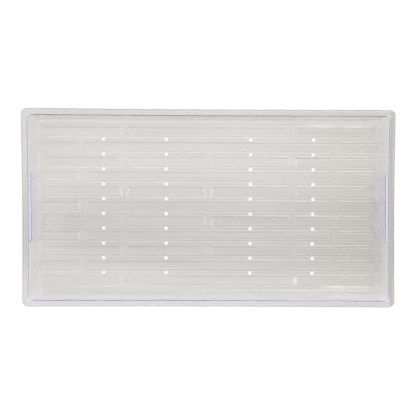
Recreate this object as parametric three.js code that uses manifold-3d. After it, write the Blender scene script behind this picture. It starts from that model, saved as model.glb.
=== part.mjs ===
// A clear drain tray for sprouting seed, thermoformed in one piece from one sheet of plastic.
// Millimetres, +Z up, +X along the tray. The origin is on the table, under the middle of the floor.

import * as THREE from "three";
import { mergeVertices } from "three/addons/utils/BufferGeometryUtils.js";
import Module from "manifold-3d";

// Overall sizes
const TRAY_LENGTH = 540; // over the rim
const TRAY_WIDTH = 285; // over the rim
const TRAY_HEIGHT = 60; // from the table to the top of the rim
const SHEET = 0.8; // thickness of the plastic

// Rim and walls
const LIP_DROP = 5; // how far the rim's outer edge turns down
const LIP_RADIUS = 2; // outside of that turn
const RIM_WIDTH = 9; // from the outside of the lip to the brink of the well
const BRINK_RADIUS = 1.6; // upper face, where the rim turns down into the well
const WALL_DRAFT = 4; // degrees from upright
const FLOOR_RADIUS = 5; // upper face, where the wall turns into the floor
const RIM_CORNER_RADIUS = 9; // seen from above, outside
const WELL_CORNER_RADIUS = 8; // seen from above, down the wall

// Hollow ribs of the floor, measured at their foot
const RIB_WIDTH = 15;
const RIB_HEIGHT = 4;
const RIB_LEAN = 1.4; // how far each side leans in over the height
const RIB_SHOULDER = 0.8; // bevel round the top
const RIB_BREAK_RADIUS = 2.5; // corners at a break, seen from above
const RIB_END_RADIUS = 6; // corners at the outer ends of a row, seen from above
const CHANNEL_WIDTH = 7.4; // between two rows
const END_CHANNEL = 6.4; // from the end of a short row to the foot of the end wall
const BREAK_WIDTH = 7.4; // between two ribs of a row
const BREAK_SPACING = 126.5; // between two breaks of a row

// Drain holes, in every channel between two rows
const HOLE_DIAMETER = 5.4;
const INNER_HOLES = 63.5; // from the middle of the tray
const OUTER_HOLES = 158; // from the middle of the tray

// Upright finger panel in each end wall, hollow on the outside
const PANEL_LENGTH = 100;
const PANEL_HEIGHT = 40;
const PANEL_DROP = 6; // from the top of the rim to the panel's ledge
const PANEL_INSET = 3; // from the brink of the well to the panel's face
const PANEL_CORNER_RADIUS = 4;

// Fineness of the round stretches
const BEND_STEPS = 3; // along the section of the sheet
const CORNER_STEPS = 5; // round a corner of the tray
const RIB_CORNER_STEPS = 3;
const PANEL_CORNER_STEPS = 3;
const HOLE_SIDES = 16;

// The wall in section, and the floor that it leaves
const draft = THREE.MathUtils.degToRad(WALL_DRAFT);
const wallTurn = Math.PI / 2 - draft;
const floorInset = RIM_WIDTH + (TRAY_HEIGHT - SHEET) * Math.tan(draft);
const floorLength = TRAY_LENGTH - 2 * floorInset;
const flatFloorWidth = TRAY_WIDTH - 2 * (floorInset + FLOOR_RADIUS * Math.tan(wallTurn / 2));

// The pattern of the ribs
const rowPitch = RIB_WIDTH + CHANNEL_WIDTH;
const rowCount = Math.floor((flatFloorWidth - RIB_WIDTH) / rowPitch) + 1;
const shortRowEnd = floorLength / 2 - END_CHANNEL;
const longRowEnd = floorLength / 2 + RIM_WIDTH; // passes out through the end wall
const shortRowBreaks = breaksFrom(0, shortRowEnd);
const longRowBreak = breaksFrom(BREAK_SPACING / 2, floorLength / 2).at(-1);

// Where one half of a row is broken, from the first break outwards, with at least a square rib past the last.
function breaksFrom(first, end) {
  const steps = Math.floor((end - RIB_WIDTH - BREAK_WIDTH / 2 - first) / BREAK_SPACING);
  return Array.from({ length: steps + 1 }, (_, step) => first + step * BREAK_SPACING);
}

const wasm = await Module();
wasm.setup();

// Turns a closed geometry into a solid that can be joined and cut.
function solid(geometry) {
  geometry.deleteAttribute("normal");
  geometry.deleteAttribute("uv");
  const merged = mergeVertices(geometry);
  return new wasm.Manifold(
    new wasm.Mesh({
      numProp: 3,
      vertProperties: new Float32Array(merged.attributes.position.array),
      triVerts: new Uint32Array(merged.index.array),
    }),
  );
}

// Turns a finished solid back into a geometry.
function geometryOf(body) {
  const mesh = body.getMesh();
  const geometry = new THREE.BufferGeometry();
  geometry.setAttribute("position", new THREE.BufferAttribute(mesh.vertProperties, 3));
  geometry.setIndex(new THREE.BufferAttribute(mesh.triVerts, 1));
  geometry.computeVertexNormals();
  return geometry;
}

// Joins several solids into one.
function joined(bodies) {
  return bodies.reduce((whole, body) => whole.add(body));
}

// One level ring in the form of a rectangle with round corners. The left end may have a radius of its own.
function roundedRing(centre, length, width, radius, steps, leftRadius = radius) {
  const signs = [[1, 1], [-1, 1], [-1, -1], [1, -1]];
  return signs.flatMap(([signX, signY], corner) =>
    Array.from({ length: steps + 1 }, (_, step) => {
      const angle = (corner + step / steps) * (Math.PI / 2);
      const turn = signX > 0 ? radius : leftRadius;
      const arc = new THREE.Vector3(Math.cos(angle), Math.sin(angle), 0).multiplyScalar(turn);
      const pivot = new THREE.Vector3(signX * (length / 2 - turn), signY * (width / 2 - turn), 0);
      return arc.add(pivot).add(centre);
    }),
  );
}

// A closed form lofted through rings of equal count, with a flat cap at each end.
function loft(rings) {
  const count = rings[0].length;
  const last = (rings.length - 1) * count;
  const cap = THREE.ShapeUtils.triangulateShape(rings[0].map(({ x, y }) => new THREE.Vector2(x, y)), []);
  const index = cap.flatMap(([a, b, c]) => [a, c, b, last + a, last + b, last + c]);
  for (let ring = 0; ring < last; ring += count) {
    for (let point = 0; point < count; point += 1) {
      const next = (point + 1) % count;
      index.push(ring + point, ring + next, ring + count + next);
      index.push(ring + point, ring + count + next, ring + count + point);
    }
  }
  const positions = rings.flat().flatMap((point) => point.toArray());
  const geometry = new THREE.BufferGeometry();
  geometry.setAttribute("position", new THREE.Float32BufferAttribute(positions, 3));
  geometry.setIndex(index);
  return geometry;
}

// Follows the middle of the sheet in section, from the edge of the lip to the flat floor.
// Each station holds its inset from the outside, its height and its heading.
function followSheet() {
  let inset = SHEET / 2;
  let height = TRAY_HEIGHT - LIP_DROP;
  let heading = Math.PI / 2;
  const stations = [{ inset, height, heading }];

  function advance(length) {
    inset += length * Math.cos(heading);
    height += length * Math.sin(heading);
  }
  function run(length) {
    advance(length);
    stations.push({ inset, height, heading });
  }
  function bend(turn, radius) {
    const half = turn / BEND_STEPS / 2;
    const chord = 2 * radius * Math.sin(Math.abs(half));
    for (let step = 0; step < BEND_STEPS; step += 1) {
      heading += half;
      advance(chord);
      heading += half;
      stations.push({ inset, height, heading });
    }
  }

  const lipRadius = LIP_RADIUS - SHEET / 2;
  const brinkRadius = BRINK_RADIUS - SHEET / 2;
  const floorRadius = FLOOR_RADIUS + SHEET / 2;
  const wallRise = TRAY_HEIGHT - SHEET - (brinkRadius + floorRadius) * (1 - Math.cos(wallTurn));

  run(LIP_DROP - LIP_RADIUS);
  bend(-Math.PI / 2, lipRadius);
  run(RIM_WIDTH - LIP_RADIUS - BRINK_RADIUS * Math.tan(wallTurn / 2));
  bend(-wallTurn, brinkRadius);
  const wallStart = stations.length - 1;
  run(wallRise / Math.sin(wallTurn));
  bend(wallTurn, floorRadius);
  return { stations, wallStart };
}

// The ring of one station, on the sheet's upper face (side 1), lower face (side -1) or middle (side 0).
function sheetRing(station, side) {
  const shift = (-Math.sin(station.heading) * side * SHEET) / 2;
  const rise = (Math.cos(station.heading) * side * SHEET) / 2;
  const inset = station.inset + shift;
  const share = THREE.MathUtils.clamp(station.inset / RIM_WIDTH, 0, 1);
  const radius = THREE.MathUtils.lerp(RIM_CORNER_RADIUS, WELL_CORNER_RADIUS, share) - shift;
  const centre = new THREE.Vector3(0, 0, station.height + rise);
  return roundedRing(centre, TRAY_LENGTH - 2 * inset, TRAY_WIDTH - 2 * inset, radius, CORNER_STEPS);
}

// The plain sheet with its floor, walls, rim and lip, and the space within the middle of its walls.
function plainTray() {
  const { stations, wallStart } = followSheet();
  const upper = stations.map((station) => sheetRing(station, 1));
  const lower = stations.map((station) => sheetRing(station, -1)).reverse();
  const middle = stations.slice(wallStart).map((station) => sheetRing(station, 0)).reverse();
  return { sheet: solid(loft([...lower, ...upper])), within: solid(loft(middle)) };
}

// Where one half of a row is broken, from the middle outwards. The outermost rows are whole at the middle.
function breaksOfRow(row) {
  if (row % 2 === 1) return [longRowBreak];
  const isOutermost = row === 0 || row === rowCount - 1;
  return isOutermost ? shortRowBreaks.slice(1) : shortRowBreaks;
}

// The ribs of one row, from left to right. Every other row runs out through the end walls.
function ribsOfRow(row) {
  const y = (row - (rowCount - 1) / 2) * rowPitch;
  const end = row % 2 === 1 ? longRowEnd : shortRowEnd;
  const half = breaksOfRow(row);
  const breaks = [...half.filter((x) => x > 0).map((x) => -x).reverse(), ...half];
  const starts = [-end, ...breaks.map((x) => x + BREAK_WIDTH / 2)];
  const stops = [...breaks.map((x) => x - BREAK_WIDTH / 2), end];
  return starts.map((start, i) => ({
    x: (start + stops[i]) / 2,
    y,
    length: stops[i] - start,
    leftRadius: i === 0 ? RIB_END_RADIUS : RIB_BREAK_RADIUS,
    rightRadius: i === breaks.length ? RIB_END_RADIUS : RIB_BREAK_RADIUS,
  }));
}

// The outside of one rib, or the hollow under it, which lies one sheet lower and further in.
function ribForm({ x, y, length, leftRadius, rightRadius }, foot, inset) {
  const overlap = SHEET / 2;
  const sideHeight = RIB_HEIGHT - RIB_SHOULDER;
  const spread = (RIB_LEAN * overlap) / sideHeight;
  const levels = [
    { height: foot - overlap, shrink: inset - spread },
    { height: foot + sideHeight, shrink: inset + RIB_LEAN },
    { height: foot + RIB_HEIGHT, shrink: inset + RIB_LEAN + RIB_SHOULDER },
  ];
  const rings = levels.map(({ height, shrink }) => {
    const [left, right] = [leftRadius, rightRadius].map((radius) => Math.max(radius - shrink, SHEET / 2));
    const centre = new THREE.Vector3(x, y, height);
    return roundedRing(centre, length - 2 * shrink, RIB_WIDTH - 2 * shrink, right, RIB_CORNER_STEPS, left);
  });
  return solid(loft(rings));
}

// The drain holes, in rows along the channels.
function drainHoles() {
  const columns = [-OUTER_HOLES, -INNER_HOLES, INNER_HOLES, OUTER_HOLES];
  const rows = Array.from({ length: rowCount - 1 }, (_, row) => (row + 1 - rowCount / 2) * rowPitch);
  return rows.flatMap((y) =>
    columns.map((x) => {
      const radius = HOLE_DIAMETER / 2;
      const drill = new THREE.CylinderGeometry(radius, radius, 4 * SHEET, HOLE_SIDES);
      drill.rotateX(Math.PI / 2);
      drill.translate(x, y, SHEET / 2);
      return solid(drill);
    }),
  );
}

// The inside of a finger panel, or the hollow behind it, which lies one sheet further out.
function panelForm(inset, turn) {
  const length = PANEL_LENGTH - 2 * inset;
  const height = PANEL_HEIGHT - 2 * inset;
  const radius = PANEL_CORNER_RADIUS - inset;
  const outline = roundedRing(new THREE.Vector3(), length, height, radius, PANEL_CORNER_STEPS);
  const shape = new THREE.Shape(outline.map((point) => new THREE.Vector2(point.x, point.y)));
  const block = new THREE.ExtrudeGeometry(shape, { depth: RIM_WIDTH, bevelEnabled: false });
  const across = new THREE.Vector3(0, 1, 0);
  const up = new THREE.Vector3(0, 0, 1);
  const outward = new THREE.Vector3(1, 0, 0);
  block.applyMatrix4(new THREE.Matrix4().makeBasis(across, up, outward));
  const face = TRAY_LENGTH / 2 - RIM_WIDTH - PANEL_INSET + inset;
  block.translate(face, 0, TRAY_HEIGHT - PANEL_DROP - PANEL_HEIGHT / 2);
  block.rotateZ(turn);
  return solid(block);
}

// The tray: the plain sheet, raised where it forms ribs and panels, hollow behind them, then drilled.
function trayBody() {
  const { sheet, within } = plainTray();
  const ribs = Array.from({ length: rowCount }, (_, row) => ribsOfRow(row)).flat();
  const ends = [0, Math.PI];
  const raised = [
    ...ribs.map((rib) => ribForm(rib, SHEET, 0)),
    ...ends.map((turn) => panelForm(0, turn)),
  ];
  const hollow = [
    ...ribs.map((rib) => ribForm(rib, 0, SHEET)),
    ...ends.map((turn) => panelForm(SHEET, turn)),
    ...drainHoles(),
  ];
  return sheet.add(joined(raised).intersect(within)).subtract(joined(hollow));
}

const clearPlastic = new THREE.MeshStandardMaterial({
  color: 0xd9d8d3,
  roughness: 0.15,
  metalness: 0,
  transparent: true,
  opacity: 0.45,
});

const tray = new THREE.Mesh(geometryOf(trayBody()), clearPlastic);
tray.name = "tray";

const part = new THREE.Group();
part.add(tray);

export default part;
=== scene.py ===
"""Looks of a clear drain tray for sprouting seed, formed from one thin sheet of plastic."""

import math

import bpy
import numpy as np
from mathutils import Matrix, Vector, noise


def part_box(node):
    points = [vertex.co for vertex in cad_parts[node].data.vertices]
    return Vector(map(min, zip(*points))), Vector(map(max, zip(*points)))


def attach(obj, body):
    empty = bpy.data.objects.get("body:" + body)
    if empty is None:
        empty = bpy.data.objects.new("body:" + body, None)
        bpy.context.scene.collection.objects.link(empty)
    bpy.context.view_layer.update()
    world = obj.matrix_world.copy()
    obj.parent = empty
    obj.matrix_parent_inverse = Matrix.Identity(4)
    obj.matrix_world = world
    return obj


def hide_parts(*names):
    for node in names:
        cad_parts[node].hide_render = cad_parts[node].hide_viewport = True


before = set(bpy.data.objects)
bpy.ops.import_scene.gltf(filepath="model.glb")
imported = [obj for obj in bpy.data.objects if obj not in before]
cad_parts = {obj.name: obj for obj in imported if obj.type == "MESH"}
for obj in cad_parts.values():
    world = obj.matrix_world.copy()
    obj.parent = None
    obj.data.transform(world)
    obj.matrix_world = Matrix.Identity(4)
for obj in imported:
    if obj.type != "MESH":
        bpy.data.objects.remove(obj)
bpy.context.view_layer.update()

MM = 0.001  # the sizes below are in millimetres, and the meshes in metres

# Overall sizes, from the frame
LOW, HIGH = (np.array(corner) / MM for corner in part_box("tray"))
LENGTH, WIDTH, HEIGHT = HIGH - LOW
SHEET = 0.8  # thickness of the plastic

# Rim and walls, as in the solid
LIP_DROP = 5.0
LIP_RADIUS = 2.0
RIM_WIDTH = 9.0
BRINK_RADIUS = 1.6
DRAFT = math.radians(4)
FLOOR_RADIUS = 5.0
RIM_CORNER_RADIUS = 9.0
WELL_CORNER_RADIUS = 8.0

# Hollow ribs of the floor, as in the solid
ROWS = 11
RIB_WIDTH = 15.0
RIB_HEIGHT = 4.0
RIB_LEAN = 1.4  # how far the side of a rib leans in from its foot to its shoulder
RIB_SHOULDER = 0.8  # width and height of the slope along its top
RIB_BREAK_RADIUS = 2.5
RIB_END_RADIUS = 6.0
RIB_FOOT = 1.2  # half the width over which the floor turns into the side of a rib
RIB_BLEND = 0.8  # half the width over which one slope of a rib turns into the next
CHANNEL_WIDTH = 7.4
END_CHANNEL = 6.4
BREAK_WIDTH = 7.4
BREAK_SPACING = 126.5  # between the breaks of a short row
LONG_BREAK = 1.5 * BREAK_SPACING  # from the middle of a long row to its breaks

# Drain holes, as in the solid
HOLE_RADIUS = 2.7
HOLE_COLUMNS = (-158.0, -63.5, 63.5, 158.0)

# Finger panel in each end wall, as in the solid
PANEL_LENGTH = 100.0
PANEL_DROP = 6.0
PANEL_INSET = 3.0
PANEL_EDGE = 1.6  # width of the soft step round the panel

# Places that follow from these sizes
PITCH = RIB_WIDTH + CHANNEL_WIDTH
WALL_TURN = math.pi / 2 - DRAFT
FLOOR_INSET = RIM_WIDTH + (HEIGHT - SHEET) * math.tan(DRAFT)  # from the outer edge to the foot of the walls
FLAT_INSET = FLOOR_INSET + FLOOR_RADIUS * math.tan(WALL_TURN / 2)  # from the outer edge to the flat floor
INNER_X = LENGTH / 2 - FLAT_INSET - WELL_CORNER_RADIUS  # where the rings round the floor begin
INNER_Y = WIDTH / 2 - FLAT_INSET - WELL_CORNER_RADIUS
SHORT_END = LENGTH / 2 - FLOOR_INSET - END_CHANNEL  # where the short rows end
LONG_END = LENGTH / 2 - FLOOR_INSET + RIM_WIDTH  # where the long rows end, past the foot of the end walls

# Fineness of the mesh
FLANK_STEPS = (0.4, 1.2, 2.0, 3.0, 5.0)  # from the foot of a rib inwards
END_STEPS = (-1.2, -0.4) + FLANK_STEPS + (4.0, RIB_END_RADIUS)
HOLE_CELLS = 4  # along each side of the square of cells that a drain hole takes out
HOLE_MARGIN = 0.4  # between this square and the ribs
CHANNEL_STEPS = np.linspace(-1, 1, HOLE_CELLS + 1) * (CHANNEL_WIDTH / 2 - HOLE_MARGIN)
WIDEST_CELL = 20.0
NARROWEST_CELL = 0.25
LIMIT_MARGIN = 0.3  # between the grid's end and the line next to it
FLAT_STATIONS = 13
FLOOR_BEND_STEPS = 5
WALL_STATIONS = (0.14, 0.32, 0.52, 0.7, 0.85)  # as shares of the wall under the ledge of a finger panel
LEDGE_STATIONS = (-2, -1, 0, 1, 2)  # from the ledge, in halves of the panel's soft step
BRINK_BEND_STEPS = 4
RIM_STATIONS = (0.5, 1)
LIP_BEND_STEPS = 4
SHARP_ANGLE = math.radians(60)  # a sharper bend of the mesh is drawn as an edge

# How the thin sheet departs from a true shape
END_BOW = 1.4  # the middle of each end leans in
LEFT_FLARE = 1.2  # the long sides spread towards the left end
RIGHT_FLARE = 0.5  # and less towards the right end
RIGHT_SKEW = 1.4  # the right end is turned, in at the back and out at the front
EDGE_POWER = 6  # how steeply these grow towards the edge
WALL_RIPPLE = 0.35
RIPPLE_LENGTH = 34.0
RIPPLE_HEIGHT = 26.0
RIPPLE_FOOT = (6.0, 20.0)  # heights between which the ripples begin
RIPPLE_TOP = (HEIGHT - 8.0, HEIGHT - 1.0)  # and end
WALL_WAVE = 0.4  # slow waves along the long walls
WAVE_LENGTH = 42.6
WAVE_PLACE = 15.0
WAVE_FOOT = (10.0, 35.0)  # heights between which the waves begin
WAVE_TOP = (HEIGHT - 3.0, HEIGHT - 1.0)  # and end
WAVE_FADE = 20.0  # the length over which they begin at the corners
FLOOR_LIFT = 0.3
LIFT_LENGTH = 90.0
LIFT_WIDTH = 70.0
LIFT_LAYER = 3.7  # keeps the places of the lift apart from those of the streaks
LIFT_TOP = (5.0, HEIGHT)  # heights between which the lift ends

# Colours of the plastic
# The clearness look moves the colour between these two, and so also paints highlights and shade
CLEAR_LOW = (0.5, 0.49, 0.466, 1)
CLEAR_HIGH = (0.86, 0.85, 0.824, 1)
WARM = (1, 0.91, 0.82, 1)  # what the ends of the floor keep
VIOLET = (0.8, 0.79, 1, 1)
SHADE = (0.86, 0.86, 0.86, 1)  # what a lamp's light keeps at each face of the sheet

# How light bends and spreads in the plastic
PLASTIC_IOR = 1.53
ROUGHNESS = (0.02, 0.06)
LIP_ROUGH = 0.4  # how much rougher the lip is
CLOUDS = 0.1  # how much the haze changes how clear the sheet is
CLOUD_SCALE = 9
CLOUD_DETAIL = 6
CLOUD_RANGE = (0.3, 0.7)  # the haze between which the roughness grows

# How violet the plastic looks where light runs along inside it, from 0 to 1
BRINK_TINT = 1.0
BRINK_START = (RIM_WIDTH - 1.35, RIM_WIDTH - 0.55)  # where the brink's violet begins, from the outer edge
BRINK_STOP = (3.5, 8.5)  # where it ends, down from the rim
WALL_TINT = 0.08
WALL_TINT_FOOT = (3.0, 10.0)  # heights between which it begins
FRONT_TINT = 0.48
FRONT_RIM_LOSS = 0.75  # the share of the front's violet that its rim lacks
# painted shade: a faint violet dark line along the sides of the ribs
FLANK_PAINTED_SHADE = 0.1
FLANK_LINE = (0.6, 1.6, 2.6)  # start, peak and end of the violet at the side of a rib, from its foot inwards
PANEL_TINT = 0.45
PANEL_FOOT = (6.0, 12.0)  # heights between which a panel's violet and grey begin
LEDGE_TINT = 0.8
EDGE_TINT = 0.4  # at the cut edge of the lip

# How warm the plastic looks, from 0 to 1
LEFT_WARM = 0.12  # at the left end of the floor
LEFT_END = (0.36 * LENGTH, 0.45 * LENGTH)  # between which the left end begins, from the middle
RIGHT_WARM = 0.24  # at the right end of floor and rim
RIGHT_END = (0.15 * LENGTH, 0.42 * LENGTH)  # between which the right end begins, from the middle
WARM_BLEND = 6.0  # the width over which it begins beside the flat floor
WARM_RIM = (1.0, 2.0)  # between which it begins on the rim, from the brink outwards

# How clear the floor looks, from 0 to 1, with painted shade towards the right end, in a band and in the fold
# up into the walls
FLOOR_CLEAR = 0.6
RIGHT_PAINTED_SHADE = 0.16  # painted shade: what floor, rim and panel lose towards the right end
RIGHT_HALF = (0.0, LENGTH / 2)  # between which this loss grows
BAND_PAINTED_SHADE = 0.3  # painted shade: what the floor loses in a soft band along its length
BAND_FRONT = (-118.0, -55.0)  # between which the band begins, across the tray
BAND_BACK = (-30.0, 75.0)  # and ends
BAND_SLANT = 12.0  # how much further to the front the band reaches in the right half
SLANT_START = (-LENGTH / 4, 0.0)  # between which it begins to reach further
BAND_FADE = 0.5  # how much weaker the band is at the left end
STREAKS = 0.1  # how much the floor changes in soft streaks along the tray
STREAK_LENGTH = 150.0
STREAK_WIDTH = 9.0
FOLD_PAINTED_SHADE = 0.13  # painted shade: what the sheet loses where the floor turns up into the walls
FOLD_LINE = (-0.5, 2.4, 5.4)  # start, peak and end of this, from the flat floor outwards

# Lines round the ribs: painted highlights round their foot and ends, painted shade along their shoulders
LEFT_LINES = 0.5  # how strong the lines are at the left end
LINE_GROWTH = (-LENGTH / 2, LENGTH / 4)  # between which they grow to their full strength
LINE_CHANGE = 1.2  # how unevenly they show along the tray
LINE_LENGTH = 90.0  # of this unevenness
LINE_WIDTH = 28.0
LINE_SHIFT = 400.0  # keeps the places of this unevenness apart from those of the streaks
LINE_FADE = 3.0  # the width over which they begin beside the flat floor
FOOT_PAINTED_HIGHLIGHT = 0.12  # painted highlight: what the floor gains round the foot of a rib
FOOT_LINE = (-1.6, -0.2, 1.0)  # start, peak and end of this gain, from the foot inwards
BACK_FOOT = 0.5  # the share of it on the side towards the back
FRONT_FOOT = 0.4  # on the side towards the front
END_FOOT = 0.8  # at a break
OUTER_FOOT = 2.5  # at the end towards an end wall
SHOULDER_PAINTED_SHADE = 0.3  # painted shade: what the floor loses along the shoulder of a rib on the side towards the back
SHOULDER_LINE = (0.8, 1.8, 2.8)  # start, peak and end of this loss, from the foot inwards
FRONT_SHOULDER = 0.45  # the share of it on the side towards the front
END_SHOULDER = -0.6  # the ends of a rib get a painted highlight instead
END_LEAN = 2.5  # how much further inwards that painted highlight lies at the back of an end than in its middle
LEAN_GAIN = 3.5  # how much stronger the painted highlight of a leaning end is
LEAN_ROWS = (-80.0, 22.0, 130.0)  # start, peak and end of the rows with leaning ends, across the tray
LEAN_STOP = (0.0, LENGTH / 4)  # between which they end, along the tray

# Glints along the last ribs of the back and front rows
GLINT_CLEAR = 0.36  # what the margins of the floor gain there
GLINT_ACROSS = (-1.0, 1.5, 8.0)  # start, peak and end of a glint, from the foot of the rib outwards
GLINT_FADE = 40.0  # the length over which a glint begins
GLINT_FRONT = 1.25 * BREAK_SPACING  # where the front one begins
GLINT_LENGTH = 30.0  # of its uneven places
GLINT_WIDTH = 4.0
BREAK_GLINT = 2.0  # how strong the glint at the break of the front row is
BREAK_GLINT_ALONG = (-2.0, 2.0, 6.0)  # its start, peak and end, from the break along the rib
BREAK_GLINT_ACROSS = (-RIB_WIDTH, -RIB_WIDTH / 2, 2.0)  # and from the foot of the rib outwards

# How clear walls, panels, rim and lip look, from 0 to 1, with painted light on the front wall and lip, and
# painted shade on the back wall's waves, the panels, their ledges and the right end of the rim
WALL_CLEAR = 0.58  # towards the top of the walls
WALL_HEIGHTS = (2.0, 50.0)  # between which the looks of the floor turn into those of a wall
FRONT_PAINTED_LIGHT = 0.26  # painted light: what the front wall gains
WAVE_PAINTED_SHADE = 0.18  # painted shade: what the waves of the back wall lose
CORNER_BLEND = 10.0  # half the width over which the looks of an end turn into those of a side
PANEL_PAINTED_SHADE = 0.3  # painted shade: what the recessed finger panels lose
LEDGE_PAINTED_SHADE = 0.45  # painted shade: what the ledge over a panel loses
RIM_CLEAR = 0.46
RIM_BLEND = 1.0  # the width over which the looks of the rim turn into those of a wall
RIM_PAINTED_SHADE = 0.36  # painted shade: what the right end of the rim loses besides
LIP_PAINTED_LIGHT = 0.2  # painted light: what the lip gains
LIP_WIDTH = (1.5, 3.0)  # between which the looks of the lip turn into those of the rim, from the outer edge

# Light; a glow of 1 is white, and sizes are in metres
WHITE = (1, 1, 1, 1)
FLOOR_SIZE = 40
FLOOR_GAP = 0.0002  # under the tray
FLOOR_WHITE = 0.9
SHADOW_SHARE = 0.3  # how much of the floor's white a full shadow takes away
LAMP_REACH = (0.7, 2.2)  # between which the lamps' light on the floor dies away
ROOM_GLOW = 0.45
LAMPS = {  # place, size and glow
    "back": ((0.6, 1.2, 1.3), (1.0, 1.6), 2.2),
    "front": ((-0.1, -1.2, 1.2), (2.2, 1.3), 1.4),
    "left": ((-1.5, -0.1, 1.2), (1.0, 1.2), 1.4),
    "right": ((1.5, -0.1, 1.2), (1.0, 1.2), 1.4),
}

# Camera, found from the tray's outline and drain holes in the photograph
CAMERA_PLACE = (-0.0072, 0.072, 1.3)
CAMERA_TURN = (-0.0572, -0.005, 0.0045)
CAMERA_FOCUS = 861.3  # in pixels
FRAME_PIXELS = 416.0
SENSOR_WIDTH = 36.0


def soft_ramp(x, width):
    """x where it is above 0, and 0 below, with a round turn between."""
    return np.where(x > width, x, np.where(x < -width, 0.0, (x + width) ** 2 / (4 * width)))


def soft_step(x, low, high):
    """From 0 at low to 1 at high, level at both ends."""
    share = np.clip((x - low) / (high - low), 0, 1)
    return share * share * (3 - 2 * share)


def peak(x, low, top, high):
    """From 0 at low to 1 at top, and back to 0 at high."""
    return soft_step(x, low, top) * (1 - soft_step(x, top, high))


def uneven(x, y, z):
    """Soft unevenness from about -1 to 1, with hills about 1 apart."""
    places = np.broadcast_arrays(x, y, z)
    values = [noise.noise(Vector(place)) for place in zip(*(axis.ravel() for axis in places))]
    return np.array(values).reshape(x.shape)


def streaks(x, y, length, width):
    """Soft uneven streaks along the tray, from about -1 to 1."""
    return uneven(x / length, y / width, 0)


def row_middle(row):
    """Where a row of ribs lies across the tray."""
    return (row - (ROWS - 1) / 2) * PITCH


def channel_middle(row):
    """Where the channel after a row of ribs lies across the tray."""
    return (row + 1 - ROWS / 2) * PITCH


def ribs():
    """Every rib of the floor as (start x, stop x, middle y, corner radius at its start and at its stop)."""
    found = []
    for row in range(ROWS):
        end = SHORT_END
        half = [0.0, BREAK_SPACING]
        if row % 2 == 1:
            end = LONG_END
            half = [LONG_BREAK]
        elif row in (0, ROWS - 1):
            half = [BREAK_SPACING]
        breaks = sorted({sign * x for x in half for sign in (-1, 1)})
        starts = [-end] + [x + BREAK_WIDTH / 2 for x in breaks]
        stops = [x - BREAK_WIDTH / 2 for x in breaks] + [end]
        radii = [RIB_END_RADIUS] + [RIB_BREAK_RADIUS] * len(breaks)
        found += zip(starts, stops, [row_middle(row)] * len(starts), radii, reversed(radii))
    return found


def rib_outline(x, y):
    """How far each point is inside the foot of a rib, whether it is at its back (1), front (-1) or end (0),
    and how far across the rib it is, from -1 at the front to 1 at the back."""
    depth = np.full(x.shape, -np.inf)
    side = np.zeros(x.shape)
    across = np.zeros(x.shape)
    for start, stop, middle_y, start_radius, stop_radius in ribs():
        middle_x = (start + stop) / 2
        radius = np.where(x < middle_x, start_radius, stop_radius)
        past_x = np.abs(x - middle_x) - (stop - start) / 2 + radius
        past_y = np.abs(y - middle_y) - RIB_WIDTH / 2 + radius
        outside = np.hypot(np.maximum(past_x, 0), np.maximum(past_y, 0))
        inside = np.minimum(np.maximum(past_x, past_y), 0)
        depth_here = radius - outside - inside
        deeper = depth_here > depth
        depth = np.where(deeper, depth_here, depth)
        side = np.where(deeper, (past_y > past_x) * np.sign(y - middle_y), side)
        across = np.where(deeper, (y - middle_y) / RIB_WIDTH * 2, across)
    return depth, side, across


def rib_rise(depth):
    """How far the floor rises at each depth to form a rib."""
    slope = (RIB_HEIGHT - RIB_SHOULDER) / RIB_LEAN
    return (
        slope * soft_ramp(depth, RIB_FOOT)
        - (slope - 1) * soft_ramp(depth - RIB_LEAN, RIB_BLEND)
        - soft_ramp(depth - RIB_LEAN - RIB_SHOULDER, RIB_BLEND)
    )


def tidy_lines(lines, limit):
    """Sorted grid lines within the limit, none too close together and none too far apart."""
    lines = sorted(line for line in lines if abs(line) < limit - LIMIT_MARGIN)
    kept = [-limit]
    for line in lines + [limit]:
        gap = line - kept[-1]
        if gap < NARROWEST_CELL:
            continue
        steps = math.ceil(gap / WIDEST_CELL)
        kept += [kept[-1] + gap * (step + 1) / steps for step in range(steps)]
    return np.array(kept)


def grid_lines_x():
    """Grid lines across the tray's length, close together at the ends of ribs and at holes."""
    lines = []
    for place in (0.0, BREAK_SPACING, LONG_BREAK):
        for sign in (-1, 1):
            foot = BREAK_WIDTH / 2
            lines += [sign * place + side * (foot + step) for step in END_STEPS for side in (-1, 1)]
    lines += [sign * (SHORT_END - step) for step in END_STEPS for sign in (-1, 1)]
    lines += [column + step for column in HOLE_COLUMNS for step in CHANNEL_STEPS]
    return tidy_lines(lines, INNER_X)


def grid_lines_y():
    """Grid lines across the tray's width, close together at the sides of ribs and at holes."""
    lines = []
    for row in range(ROWS):
        lines += [row_middle(row) + side * (RIB_WIDTH / 2 - step) for step in FLANK_STEPS for side in (-1, 1)]
    for row in range(ROWS - 1):
        lines += [channel_middle(row) + step for step in CHANNEL_STEPS]
    return tidy_lines(lines, INNER_Y)


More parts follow.
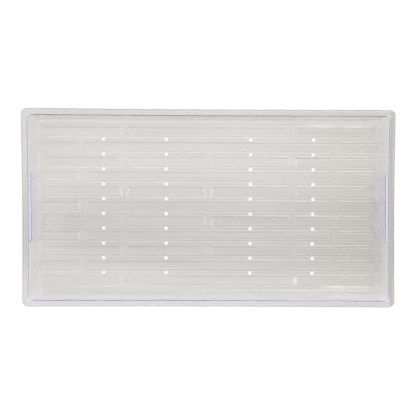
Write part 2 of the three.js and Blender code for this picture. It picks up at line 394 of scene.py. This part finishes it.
def section():
    """The middle of the sheet from the floor out to the lip: offset, height, corner radius and violet."""
    flat = list(np.linspace(0, WELL_CORNER_RADIUS, FLAT_STATIONS))
    stations = [(offset, SHEET / 2) for offset in flat]
    offset, height, heading = flat[-1], SHEET / 2, 0.0

    def run(length, shares):
        nonlocal offset, height
        for share in shares:
            reach = length * share
            stations.append((offset + reach * math.cos(heading), height + reach * math.sin(heading)))
        offset, height = stations[-1]

    def bend(turn, radius, steps):
        nonlocal offset, height, heading
        for _ in range(steps):
            heading += turn / steps / 2
            chord = 2 * radius * math.sin(abs(turn) / steps / 2)
            offset += chord * math.cos(heading)
            height += chord * math.sin(heading)
            heading += turn / steps / 2
            stations.append((offset, height))

    floor_radius = FLOOR_RADIUS + SHEET / 2
    brink_radius = BRINK_RADIUS - SHEET / 2
    lip_radius = LIP_RADIUS - SHEET / 2
    height_of_bends = (floor_radius + brink_radius) * (1 - math.cos(WALL_TURN))
    wall = (HEIGHT - SHEET - height_of_bends) / math.sin(WALL_TURN)
    ledge = 1 - (PANEL_DROP - BRINK_RADIUS) / wall
    ledge_step = PANEL_EDGE / 2 / wall
    below_ledge = [ledge * share for share in WALL_STATIONS]
    at_ledge = [ledge + ledge_step * share for share in LEDGE_STATIONS]
    level_rim = RIM_WIDTH - LIP_RADIUS - BRINK_RADIUS * math.tan(WALL_TURN / 2)
    bend(WALL_TURN, floor_radius, FLOOR_BEND_STEPS)
    run(wall, below_ledge + at_ledge + [1])
    bend(-WALL_TURN, brink_radius, BRINK_BEND_STEPS)
    run(level_rim, RIM_STATIONS)
    bend(-math.pi / 2, lip_radius, LIP_BEND_STEPS)
    run(LIP_DROP - LIP_RADIUS, (1,))

    offsets, heights = np.array(stations).T
    inset = offsets[-1] + SHEET / 2 - offsets
    share = np.clip(inset / RIM_WIDTH, 0, 1)
    radii = RIM_CORNER_RADIUS + (WELL_CORNER_RADIUS - RIM_CORNER_RADIUS) * share
    drop = HEIGHT - SHEET / 2 - heights
    brink_tint = BRINK_TINT * soft_step(inset, *BRINK_START) * (1 - soft_step(drop, *BRINK_STOP))
    wall_tint = WALL_TINT * soft_step(heights, *WALL_TINT_FOOT) * (inset > RIM_WIDTH - RIM_BLEND)
    tints = np.maximum(brink_tint, wall_tint)
    tints[-1] = EDGE_TINT
    return offsets, heights, np.minimum(radii, offsets), tints


def corner_point(offset, radius, share):
    """A point of one ring's quarter round a corner, from its start (share 0) to its end (share 1)."""
    straight = offset - radius
    arc = radius * math.pi / 2
    along = share * (2 * straight + arc)
    if along < straight:
        return offset, along
    if along > straight + arc:
        return 2 * straight + arc - along, offset
    angle = (along - straight) / radius if radius else 0.0
    return straight + radius * math.cos(angle), straight + radius * math.sin(angle)


def plain_grid():
    """The plain sheet as a grid of points, and how violet its section is at each one."""
    lines_x, lines_y = grid_lines_x(), grid_lines_y()
    offsets, heights, radii, tints = section()
    rings = len(offsets) - 1
    shape = (len(lines_x) + 2 * rings, len(lines_y) + 2 * rings)
    points = np.zeros(shape + (3,))
    violet = np.zeros(shape)
    for column, row in np.ndindex(shape):
        ring_x = max(rings - column, column - rings - len(lines_x) + 1, 0)
        ring_y = max(rings - row, row - rings - len(lines_y) + 1, 0)
        ring = max(ring_x, ring_y)
        sign_x = -1 if column < rings else 1
        sign_y = -1 if row < rings else 1
        x = sign_x * (INNER_X + offsets[ring_x]) if ring_x else lines_x[column - rings]
        y = sign_y * (INNER_Y + offsets[ring_y]) if ring_y else lines_y[row - rings]
        if ring_x and ring_y:
            share = ring_y / ring / 2 if ring_x == ring else 1 - ring_x / ring / 2
            past_x, past_y = corner_point(offsets[ring], radii[ring], share)
            x = sign_x * (INNER_X + past_x)
            y = sign_y * (INNER_Y + past_y)
        points[column, row] = x, y, heights[ring]
        violet[column, row] = tints[ring]
    return points, violet


def wave(x):
    """The slow waves along the long walls, from -1 to 1."""
    return np.cos(2 * math.pi * (x - WAVE_PLACE) / WAVE_LENGTH)


def edge_distance(x, y):
    """How far each point is from the tray's outer edge, in plan."""
    return np.minimum(LENGTH / 2 - np.abs(x), WIDTH / 2 - np.abs(y))


def at_lip(x, y):
    """1 at the lip, and 0 on the rim."""
    return 1 - soft_step(edge_distance(x, y), *LIP_WIDTH)


def at_rim(x, y):
    """1 on the rim, and 0 inside it."""
    return 1 - soft_step(edge_distance(x, y), RIM_WIDTH - RIM_BLEND, RIM_WIDTH)


def at_end(x, y):
    """1 at the two ends of the tray, and 0 at its long sides."""
    from_end = LENGTH / 2 - np.abs(x)
    from_side = WIDTH / 2 - np.abs(y)
    return soft_step(from_side - from_end, -CORNER_BLEND, CORNER_BLEND)


def at_left(x):
    """1 at the left end of the floor, and 0 away from it."""
    return soft_step(-x, *LEFT_END)


def painted_shade_band(x, y):
    """The soft band of painted shade along the tray, from 0 to 1."""
    slant = BAND_SLANT * soft_step(x, *SLANT_START)
    return soft_step(y + slant, *BAND_FRONT) * (1 - soft_step(y, *BAND_BACK))


def glints(x, y):
    """Uneven glints along the last ribs of the back and front rows."""
    from_rib = np.abs(y) - row_middle(ROWS - 1) - RIB_WIDTH / 2
    start = np.where(y > 0, BREAK_SPACING, GLINT_FRONT)
    along = soft_step(x, start, start + GLINT_FADE) * (1 - soft_step(x, SHORT_END - RIB_WIDTH, SHORT_END))
    beside = along * peak(from_rib, *GLINT_ACROSS) * (1 + streaks(x, y, GLINT_LENGTH, GLINT_WIDTH))
    from_break = x - BREAK_SPACING - BREAK_WIDTH / 2
    at_break = peak(from_break, *BREAK_GLINT_ALONG) * peak(from_rib, *BREAK_GLINT_ACROSS)
    return beside + BREAK_GLINT * at_break * (y < 0)


def painted_rib_lines(x, y):
    """The painted highlights round the foot of the ribs, and the painted shade along their shoulders."""
    depth, side, across = rib_outline(x, y)
    line = LEFT_LINES + (1 - LEFT_LINES) * soft_step(x, *LINE_GROWTH)
    line = np.maximum(line + LINE_CHANGE * streaks(x, y + LINE_SHIFT, LINE_LENGTH, LINE_WIDTH), 0)
    line *= soft_step(edge_distance(x, y) - FLAT_INSET, -LINE_FADE, 0)
    is_outer = SHORT_END - np.abs(x) < RIB_WIDTH
    leaning = (side == 0) * ~is_outer * (1 - soft_step(x, *LEAN_STOP)) * peak(y, *LEAN_ROWS)
    sides = [side > 0, side < 0]
    end_foot = np.where(is_outer, OUTER_FOOT, END_FOOT)
    foot = np.select(sides, [BACK_FOOT, FRONT_FOOT], end_foot)
    end_shoulder = END_SHOULDER * (1 + LEAN_GAIN * leaning)
    shoulder = np.select(sides, [1, FRONT_SHOULDER], end_shoulder)
    painted_highlight = line * FOOT_PAINTED_HIGHLIGHT * foot * peak(depth, *FOOT_LINE)
    painted_shade = line * SHOULDER_PAINTED_SHADE * shoulder * peak(depth - END_LEAN * leaning * across, *SHOULDER_LINE)
    return painted_highlight, painted_shade


def clearness_and_painted_light(x, y, z):
    """How clear the sheet looks at each point, with painted highlights and painted shade on floor, ribs,
    walls, rim and lip.
    """
    end = at_end(x, y)
    # painted shade towards the right end
    right_shade = RIGHT_PAINTED_SHADE * soft_step(x, *RIGHT_HALF)
    # a soft band of painted shade along the floor
    band = BAND_PAINTED_SHADE * painted_shade_band(x, y)
    floor = FLOOR_CLEAR - right_shade - band * (1 - BAND_FADE * at_left(x))
    floor += STREAKS * streaks(x, y, STREAK_LENGTH, STREAK_WIDTH) + GLINT_CLEAR * glints(x, y)
    # painted highlights round the foot of the ribs and painted shade along their shoulders
    painted_highlight, painted_shade = painted_rib_lines(x, y)
    floor += painted_highlight
    floor -= painted_shade
    # painted light on the front wall
    wall = WALL_CLEAR + FRONT_PAINTED_LIGHT * (1 - end) * (y < 0)
    # painted shade on the slow waves of the back wall
    wall -= WAVE_PAINTED_SHADE * (1 - end) * (y > 0) * (1 + wave(x)) / 2
    lip = at_lip(x, y)
    # painted light on the lip, less the painted shade towards the right end
    rim = RIM_CLEAR + LIP_PAINTED_LIGHT * lip - right_shade
    # painted shade at the right end of the rim, and the band's painted shade at both ends
    rim -= end * (RIM_PAINTED_SHADE * (x > 0) * (1 - lip) + band)
    # painted shade in the fold where the floor turns up into the walls
    fold = FOLD_PAINTED_SHADE * peak(FLAT_INSET - edge_distance(x, y), *FOLD_LINE)
    well = floor + (wall - floor) * soft_step(z, *WALL_HEIGHTS) - fold
    return well + (rim - well) * at_rim(x, y)


def add_violet(x, y, z, violet):
    """Adds the violet of the ribs' sides, which is painted shade, and of the front wall."""
    wall_share = soft_step(z, *WALL_HEIGHTS)
    depth, _, _ = rib_outline(x, y)
    flank = FLANK_PAINTED_SHADE * peak(depth, *FLANK_LINE) * (1 - wall_share)
    at_front = (1 - at_end(x, y)) * (y < 0)
    front = FRONT_TINT * at_front * wall_share * (1 - FRONT_RIM_LOSS * at_rim(x, y))
    np.maximum(violet, flank, out=violet)
    np.maximum(violet, front, out=violet)


def warmth(x, y):
    """How warm the sheet looks towards the ends of the floor, and at the right end of the rim."""
    inset = edge_distance(x, y)
    on_floor = soft_step(inset, FLAT_INSET - WARM_BLEND, FLAT_INSET)
    on_rim = soft_step(RIM_WIDTH - inset, *WARM_RIM)
    right = RIGHT_WARM * soft_step(x, *RIGHT_END)
    return on_floor * LEFT_WARM * at_left(x) + (on_floor + on_rim) * right


def form_ribs(points):
    """Raises the floor, and the foot of the end walls, to the ribs."""
    x, y, z = np.moveaxis(points, -1, 0)
    depth, _, _ = rib_outline(x, y)
    rise = SHEET / 2 + rib_rise(depth)
    points[..., 2] = np.where(rise > SHEET / 2, z + soft_ramp(rise - z, RIB_BLEND), z)


def form_panels(points, violet, clear):
    """Pushes the finger panel of each end wall in to an upright face, with painted shade on the panel and its
    ledge, and a violet ledge.
    """
    x, y, z = np.moveaxis(points, -1, 0)
    face = LENGTH / 2 - RIM_WIDTH - PANEL_INSET + SHEET / 2
    half = PANEL_LENGTH / 2
    ledge = HEIGHT - PANEL_DROP
    across = 1 - soft_step(np.abs(y), half - PANEL_EDGE, half)
    below = 1 - soft_step(z, ledge - PANEL_EDGE, ledge)
    push = np.maximum(np.abs(x) - face, 0) * across * below
    inside_lip = np.abs(x) < LENGTH / 2 - RIM_WIDTH + SHEET
    points[..., 0] -= np.sign(x) * np.where(inside_lip, push, 0)
    near = across * (np.abs(x) > face - PANEL_INSET) * inside_lip
    crease = 1 - soft_step(np.abs(z - ledge + PANEL_EDGE), PANEL_EDGE / 4, PANEL_EDGE / 2)
    panel = below * soft_step(z, *PANEL_FOOT)
    np.maximum(violet, near * np.maximum(LEDGE_TINT * crease, PANEL_TINT * panel), out=violet)
    step = peak(z, ledge - 1.5 * PANEL_EDGE, ledge - PANEL_EDGE / 2, ledge + PANEL_EDGE / 2)
    # painted shade on the recessed panel, more at the right end, and on its ledge
    grey = PANEL_PAINTED_SHADE + RIGHT_PAINTED_SHADE * (x > 0)
    clear -= near * (grey * panel + LEDGE_PAINTED_SHADE * step)


def slacken(points):
    """The small waves and bows of a thin formed sheet."""
    x, y, z = np.moveaxis(points.copy(), -1, 0)
    half_length, half_width = LENGTH / 2, WIDTH / 2
    bow = END_BOW * (np.abs(x) / half_length) ** EDGE_POWER * (1 - (y / half_width) ** 2)
    skew = RIGHT_SKEW * (np.maximum(x, 0) / half_length) ** EDGE_POWER * y / half_width
    points[..., 0] -= np.sign(x) * bow + skew
    flare = np.where(x < 0, LEFT_FLARE, RIGHT_FLARE) * (x / half_length) ** 2
    points[..., 1] += np.sign(y) * flare * (np.abs(y) / half_width) ** EDGE_POWER
    on_side = soft_step(half_length - np.abs(x) - half_width + np.abs(y), 0, WAVE_FADE)
    waved = soft_step(z, *WAVE_FOOT) * (1 - soft_step(z, *WAVE_TOP))
    points[..., 1] += WALL_WAVE * on_side * waved * wave(x)
    rippled = soft_step(z, *RIPPLE_FOOT) * (1 - soft_step(z, *RIPPLE_TOP))
    ripple = WALL_RIPPLE * rippled * uneven(x / RIPPLE_LENGTH, y / RIPPLE_LENGTH, z / RIPPLE_HEIGHT)
    is_end = np.abs(x) - half_length > np.abs(y) - half_width
    points[..., 0] += np.where(is_end, ripple, 0)
    points[..., 1] += np.where(is_end, 0, ripple)
    lift = np.maximum(uneven(x / LIFT_LENGTH, y / LIFT_WIDTH, LIFT_LAYER), 0)
    points[..., 2] += FLOOR_LIFT * lift * (1 - soft_step(z, *LIFT_TOP))


def hole_squares():
    """For each drain hole, the first column and row of the grid's square round it, and its middle."""
    lines_x, lines_y = grid_lines_x(), grid_lines_y()
    rings = len(section()[0]) - 1
    squares = []
    for x in HOLE_COLUMNS:
        for row in range(ROWS - 1):
            y = channel_middle(row)
            first_column = int(np.argmin(np.abs(lines_x - x - CHANNEL_STEPS[0]))) + rings
            first_row = int(np.argmin(np.abs(lines_y - y - CHANNEL_STEPS[0]))) + rings
            squares.append((first_column, first_row, x, y))
    return squares


def round_square(number, column, row):
    """The numbers of the points round a drain hole's square, from its right front corner anticlockwise."""
    steps = range(HOLE_CELLS)
    last_column, last_row = column + HOLE_CELLS, row + HOLE_CELLS
    ring = [number[last_column, row + step] for step in steps]
    ring += [number[last_column - step, last_row] for step in steps]
    ring += [number[column, last_row - step] for step in steps]
    ring += [number[column + step, row] for step in steps]
    return ring


def sheet_mesh():
    """The middle of the sheet as a mesh of quads, with round drain holes."""
    points, violet = plain_grid()
    x, y, z = np.moveaxis(points, -1, 0)
    # the clearness look holds painted highlights and painted shade as well as the sheet's own clearness
    clear, warm, lip = clearness_and_painted_light(x, y, z), warmth(x, y), at_lip(x, y)
    add_violet(x, y, z, violet)
    form_ribs(points)
    form_panels(points, violet, clear)
    slacken(points)

    count_x, count_y = violet.shape
    verts = [tuple(point) for point in points.reshape(-1, 3)]
    number = np.arange(count_x * count_y).reshape(count_x, count_y)
    taken = np.zeros((count_x - 1, count_y - 1), bool)
    corners = 4 * HOLE_CELLS
    faces, clear_at_holes, warm_at_holes = [], [], []
    for column, row, middle_x, middle_y in hole_squares():
        square = np.s_[column : column + HOLE_CELLS, row : row + HOLE_CELLS]
        taken[square] = True
        height = points[square][..., 2].mean()
        clear_at_holes += [clear[square].mean()] * corners
        warm_at_holes += [warm[column, row]] * corners
        ring = round_square(number, column, row)
        start = len(verts)
        for corner in range(corners):
            angle = math.pi / 2 * (corner / HOLE_CELLS - 0.5)
            hole_x = middle_x + HOLE_RADIUS * math.cos(angle)
            hole_y = middle_y + HOLE_RADIUS * math.sin(angle)
            verts.append((hole_x, hole_y, height))
            after = (corner + 1) % corners
            faces.append((ring[corner], ring[after], start + after, start + corner))
    for column, row in np.argwhere(~taken):
        near = (number[column, row], number[column + 1, row])
        far = (number[column + 1, row + 1], number[column, row + 1])
        faces.append(near + far)

    mesh = bpy.data.meshes.new("tray_sheet")
    places = [tuple(size * MM for size in vert) for vert in verts]
    mesh.from_pydata(places, [], [tuple(int(index) for index in face) for face in faces])
    nothing = [0] * len(clear_at_holes)
    looks = [("violet", violet, nothing), ("lip", lip, nothing)]
    looks += [("clear", clear, clear_at_holes), ("warm", warm, warm_at_holes)]
    for name, values, at_holes in looks:
        layer = mesh.attributes.new(name, "FLOAT", "POINT")
        layer.data.foreach_set("value", np.append(values.ravel(), at_holes))
    mesh.validate()
    return mesh


def thickened(mesh, name):
    """A piece with the sheet's thickness on both sides of its middle."""
    piece = bpy.data.objects.new(name, mesh)
    bpy.context.scene.collection.objects.link(piece)
    solidify = piece.modifiers.new("thickness", "SOLIDIFY")
    solidify.thickness = SHEET * MM
    solidify.offset = 0
    solidify.use_even_offset = True
    solidify.use_rim = True
    solid = bpy.data.meshes.new_from_object(piece.evaluated_get(bpy.context.evaluated_depsgraph_get()))
    piece.modifiers.clear()
    piece.data = solid
    solid.name = name
    solid.polygons.foreach_set("use_smooth", np.ones(len(solid.polygons), bool))
    solid.set_sharp_from_angle(angle=SHARP_ANGLE)
    return piece


def look(tree, name):
    """One of the sheet's looks, as the mesh holds it at each point."""
    node = tree.nodes.new("ShaderNodeAttribute")
    node.attribute_name = name
    return node.outputs["Fac"]


def larger(tree, first, second):
    """The larger one of two values."""
    node = tree.nodes.new("ShaderNodeMath")
    node.operation = "MAXIMUM"
    tree.links.new(first, node.inputs[0])
    tree.links.new(second, node.inputs[1])
    return node.outputs["Value"]


def added(tree, base, value, factor, is_clamped):
    """The sum of a base value and a share of another one, kept between 0 and 1 if it is clamped."""
    node = tree.nodes.new("ShaderNodeMath")
    node.operation = "MULTIPLY_ADD"
    node.use_clamp = is_clamped
    node.inputs[1].default_value = factor
    tree.links.new(value, node.inputs[0])
    tree.links.new(base, node.inputs[2])
    return node.outputs["Value"]


def mixed(tree, factor, colour, blend="MIX"):
    """A node that turns its first colour into another one by a factor."""
    node = tree.nodes.new("ShaderNodeMix")
    node.data_type = "RGBA"
    node.blend_type = blend
    node.inputs["B"].default_value = colour
    tree.links.new(factor, node.inputs["Factor"])
    return node


def clear_plastic():
    """Clear plastic, a little grey and hazy, violet where light runs along inside it, with the painted
    highlights and painted shade of its clearness look.
    """
    material = bpy.data.materials.new("clear_plastic")
    material.use_nodes = True
    tree = material.node_tree
    nodes, links = tree.nodes, tree.links
    shader = nodes["Principled BSDF"]
    shader.inputs["IOR"].default_value = PLASTIC_IOR
    shader.inputs["Transmission Weight"].default_value = 1

    coords = nodes.new("ShaderNodeTexCoord")
    cloud = nodes.new("ShaderNodeTexNoise")
    cloud.inputs["Scale"].default_value = CLOUD_SCALE
    cloud.inputs["Detail"].default_value = CLOUD_DETAIL
    links.new(coords.outputs["Object"], cloud.inputs["Vector"])
    rough = nodes.new("ShaderNodeMapRange")
    rough.inputs["From Min"].default_value, rough.inputs["From Max"].default_value = CLOUD_RANGE
    rough.inputs["To Min"].default_value, rough.inputs["To Max"].default_value = ROUGHNESS
    links.new(cloud.outputs["Fac"], rough.inputs["Value"])
    dull = added(tree, rough.outputs["Result"], look(tree, "lip"), LIP_ROUGH, False)
    links.new(dull, shader.inputs["Roughness"])

    # the clearness look, with its painted highlights and painted shade, made hazier by the clouds
    hazy = added(tree, look(tree, "clear"), cloud.outputs["Fac"], CLOUDS, True)
    clear = mixed(tree, hazy, CLEAR_HIGH)
    clear.inputs["A"].default_value = CLEAR_LOW
    warm = mixed(tree, look(tree, "warm"), WARM, "MULTIPLY")
    links.new(clear.outputs["Result"], warm.inputs["A"])
    violet = mixed(tree, look(tree, "violet"), VIOLET)
    links.new(warm.outputs["Result"], violet.inputs["A"])
    links.new(violet.outputs["Result"], shader.inputs["Base Color"])

    shade = nodes.new("ShaderNodeBsdfTransparent")
    shade.inputs["Color"].default_value = SHADE
    path = nodes.new("ShaderNodeLightPath")
    mix = nodes.new("ShaderNodeMixShader")
    either = larger(tree, path.outputs["Is Shadow Ray"], path.outputs["Is Diffuse Ray"])
    links.new(either, mix.inputs["Fac"])
    links.new(shader.outputs["BSDF"], mix.inputs[1])
    links.new(shade.outputs["BSDF"], mix.inputs[2])
    links.new(mix.outputs["Shader"], nodes["Material Output"].inputs["Surface"])
    return material


def by_sight(tree, socket, unseen, seen):
    """Gives a socket one value for light that only falls on the tray, and another for what is seen."""
    path = tree.nodes.new("ShaderNodeLightPath")
    sight = path.outputs["Is Camera Ray"]
    for name in ("Is Glossy Ray", "Is Transmission Ray"):
        sight = larger(tree, sight, path.outputs[name])
    level = tree.nodes.new("ShaderNodeMapRange")
    level.inputs["To Min"].default_value = unseen
    level.inputs["To Max"].default_value = seen
    tree.links.new(sight, level.inputs["Value"])
    tree.links.new(level.outputs["Result"], socket)
    return level


def pale_floor():
    """A plain white floor, which keeps the tray's shadow."""
    bpy.ops.mesh.primitive_plane_add(size=FLOOR_SIZE, location=(0, 0, -FLOOR_GAP))
    floor = bpy.context.object
    floor.name = "floor"
    material = bpy.data.materials.new("floor")
    material.use_nodes = True
    tree = material.node_tree
    shader = tree.nodes["Principled BSDF"]
    shader.inputs["Roughness"].default_value = 1
    shader.inputs["Specular IOR Level"].default_value = 0
    shader.inputs["Emission Color"].default_value = WHITE
    by_sight(tree, shader.inputs["Base Color"], FLOOR_WHITE, SHADOW_SHARE)
    glow = by_sight(tree, shader.inputs["Emission Strength"], 0, 1)
    coords = tree.nodes.new("ShaderNodeTexCoord")
    distance = tree.nodes.new("ShaderNodeVectorMath")
    distance.operation = "LENGTH"
    tree.links.new(coords.outputs["Object"], distance.inputs[0])
    far = tree.nodes.new("ShaderNodeMapRange")
    far.inputs["From Min"].default_value, far.inputs["From Max"].default_value = LAMP_REACH
    far.inputs["To Min"].default_value = 1 - SHADOW_SHARE * FLOOR_WHITE
    far.inputs["To Max"].default_value = 1 - SHADOW_SHARE * ROOM_GLOW
    tree.links.new(distance.outputs["Value"], far.inputs["Value"])
    tree.links.new(far.outputs["Result"], glow.inputs["To Max"])
    floor.data.materials.append(material)


def lamp(name, place, size, glow):
    """A soft lamp that faces the tray, with the brightness of its face where 1 is white."""
    light = bpy.data.lights.new(name, "AREA")
    light.shape = "RECTANGLE"
    light.size, light.size_y = size
    light.energy = glow * math.pi * light.size * light.size_y
    holder = bpy.data.objects.new(name, light)
    holder.location = place
    holder.rotation_euler = (-Vector(place)).to_track_quat("-Z", "Y").to_euler()
    bpy.context.scene.collection.objects.link(holder)


def studio():
    """Four soft lamps, one on each side of the tray, in a pale room."""
    world = bpy.data.worlds.new("room")
    world.use_nodes = True
    background = world.node_tree.nodes["Background"]
    background.inputs["Color"].default_value = WHITE
    by_sight(world.node_tree, background.inputs["Strength"], ROOM_GLOW, 1)
    bpy.context.scene.world = world
    for name, (place, size, glow) in LAMPS.items():
        lamp(name, place, size, glow)


def camera():
    """The photograph's camera, nearly straight above the tray."""
    data = bpy.data.cameras.new("camera")
    data.sensor_width = SENSOR_WIDTH
    data.lens = CAMERA_FOCUS / FRAME_PIXELS * data.sensor_width
    holder = bpy.data.objects.new("camera", data)
    holder.location = CAMERA_PLACE
    holder.rotation_euler = CAMERA_TURN
    bpy.context.scene.collection.objects.link(holder)
    bpy.context.scene.camera = holder


tray = thickened(sheet_mesh(), "clear_tray")
tray.data.materials.append(clear_plastic())
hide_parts("tray")
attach(tray, "root")

pale_floor()
studio()
camera()
bpy.context.scene.view_settings.view_transform = "Standard"
